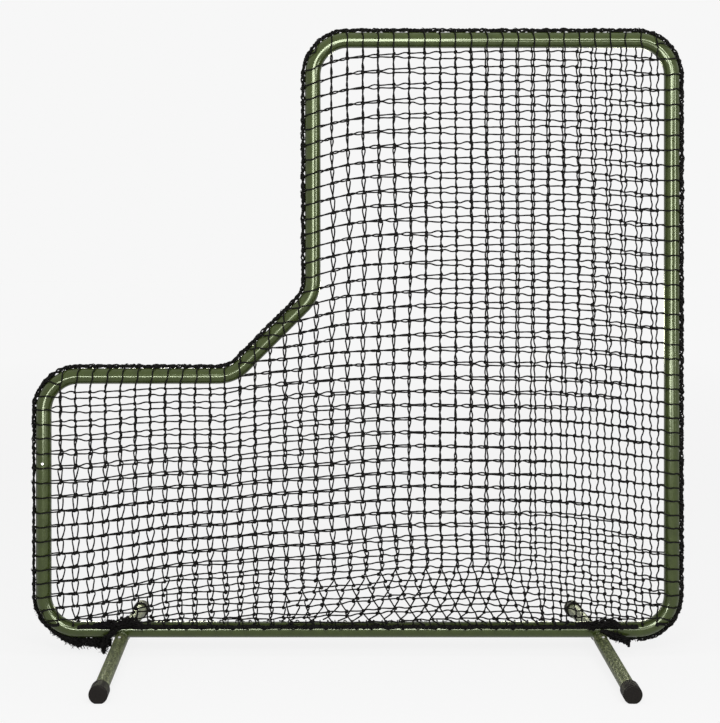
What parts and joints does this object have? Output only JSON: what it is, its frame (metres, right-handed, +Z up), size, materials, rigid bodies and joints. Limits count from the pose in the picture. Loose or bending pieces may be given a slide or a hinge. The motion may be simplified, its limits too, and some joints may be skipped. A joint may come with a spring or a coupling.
{
  "type": "pitcher's protective l-screen",
  "caption": "L-shaped protective screen: bent tube frame with a throwing notch, doubled knotted net laced on, and two fore-and-aft legs with end caps.",
  "frame": {"origin": "on the floor, under the middle of the frame's width and depth", "axes": "+X to the right as seen from the front, +Y to the rear, +Z up; the throwing notch is at the upper left"},
  "size_m": [1.8488, 1.0692, 1.7783],
  "materials": {
    "frame_green": "gloss olive green powder coat",
    "cap_rubber": "matt black moulded rubber",
    "button_zinc": "bright zinc plated steel",
    "spring_steel": "plain spring steel",
    "net_twine": "black tarred knotted twine"
  },
  "bodies": {
    "screen": {"lower_left_tube": "frame_green", "lower_right_tube": "frame_green", "step_tube": "frame_green", "upper_left_tube": "frame_green", "upper_right_tube": "frame_green", "right_upright_tube": "frame_green", "left_cross_tube": "frame_green", "right_cross_tube": "frame_green", "leg_front_left": "frame_green", "leg_rear_left": "frame_green", "leg_front_right": "frame_green", "leg_rear_right": "frame_green", "cap_front_left": "cap_rubber", "cap_rear_left": "cap_rubber", "cap_front_right": "cap_rubber", "cap_rear_right": "cap_rubber", "spring_left": "spring_steel", "spring_right": "spring_steel", "spring_high_right": "spring_steel", "spring_top": "spring_steel", "spring_notch": "spring_steel", "spring_rail": "spring_steel", "leg_spring_front_left": "spring_steel", "leg_spring_rear_left": "spring_steel", "leg_spring_front_right": "spring_steel", "leg_spring_rear_right": "spring_steel", "net_front": "net_twine", "net_rear": "net_twine", "net_seam": "net_twine", "net_hem_front": "net_twine", "net_hem_rear": "net_twine", "net_lacing": "net_twine", "net_bunch_left": "net_twine", "net_bunch_right": "net_twine"},
    "button_left": {"button_left": "button_zinc"},
    "button_right": {"button_right": "button_zinc"},
    "button_high_right": {"button_high_right": "button_zinc"},
    "button_top": {"button_top": "button_zinc"},
    "button_notch": {"button_notch": "button_zinc"},
    "button_rail": {"button_rail": "button_zinc"},
    "leg_button_front_left": {"leg_button_front_left": "button_zinc"},
    "leg_button_rear_left": {"leg_button_rear_left": "button_zinc"},
    "leg_button_front_right": {"leg_button_front_right": "button_zinc"},
    "leg_button_rear_right": {"leg_button_rear_right": "button_zinc"}
  },
  "joints": [
    {"name": "press_left", "type": "slide", "parent": "screen", "child": "button_left", "axis": [0, 1, 0], "range_m": [0, 0.0056], "stiffness_N_per_m": 2500, "springref_m": -0.002, "deforming": ["spring_left"]},
    {"name": "press_right", "type": "slide", "parent": "screen", "child": "button_right", "axis": [0, -1, 0], "range_m": [0, 0.0056], "stiffness_N_per_m": 2500, "springref_m": -0.002, "deforming": ["spring_right"]},
    {"name": "press_high_right", "type": "slide", "parent": "screen", "child": "button_high_right", "axis": [0, -1, 0], "range_m": [0, 0.0056], "stiffness_N_per_m": 2500, "springref_m": -0.002, "deforming": ["spring_high_right"]},
    {"name": "press_top", "type": "slide", "parent": "screen", "child": "button_top", "axis": [0, -1, 0], "range_m": [0, 0.0056], "stiffness_N_per_m": 2500, "springref_m": -0.002, "deforming": ["spring_top"]},
    {"name": "press_notch", "type": "slide", "parent": "screen", "child": "button_notch", "axis": [0, -1, 0], "range_m": [0, 0.0056], "stiffness_N_per_m": 2500, "springref_m": -0.002, "deforming": ["spring_notch"]},
    {"name": "press_rail", "type": "slide", "parent": "screen", "child": "button_rail", "axis": [0, -1, 0], "range_m": [0, 0.0056], "stiffness_N_per_m": 2500, "springref_m": -0.002, "deforming": ["spring_rail"]},
    {"name": "press_leg_front_left", "type": "slide", "parent": "screen", "child": "leg_button_front_left", "axis": [0, 0.0526, -0.9986], "range_m": [0, 0.0056], "stiffness_N_per_m": 2500, "springref_m": -0.002, "deforming": ["leg_spring_front_left"]},
    {"name": "press_leg_rear_left", "type": "slide", "parent": "screen", "child": "leg_button_rear_left", "axis": [0, -0.0526, -0.9986], "range_m": [0, 0.0056], "stiffness_N_per_m": 2500, "springref_m": -0.002, "deforming": ["leg_spring_rear_left"]},
    {"name": "press_leg_front_right", "type": "slide", "parent": "screen", "child": "leg_button_front_right", "axis": [0, 0.0526, -0.9986], "range_m": [0, 0.0056], "stiffness_N_per_m": 2500, "springref_m": -0.002, "deforming": ["leg_spring_front_right"]},
    {"name": "press_leg_rear_right", "type": "slide", "parent": "screen", "child": "leg_button_rear_right", "axis": [0, -0.0526, -0.9986], "range_m": [0, 0.0056], "stiffness_N_per_m": 2500, "springref_m": -0.002, "deforming": ["leg_spring_rear_right"]}
  ]
}
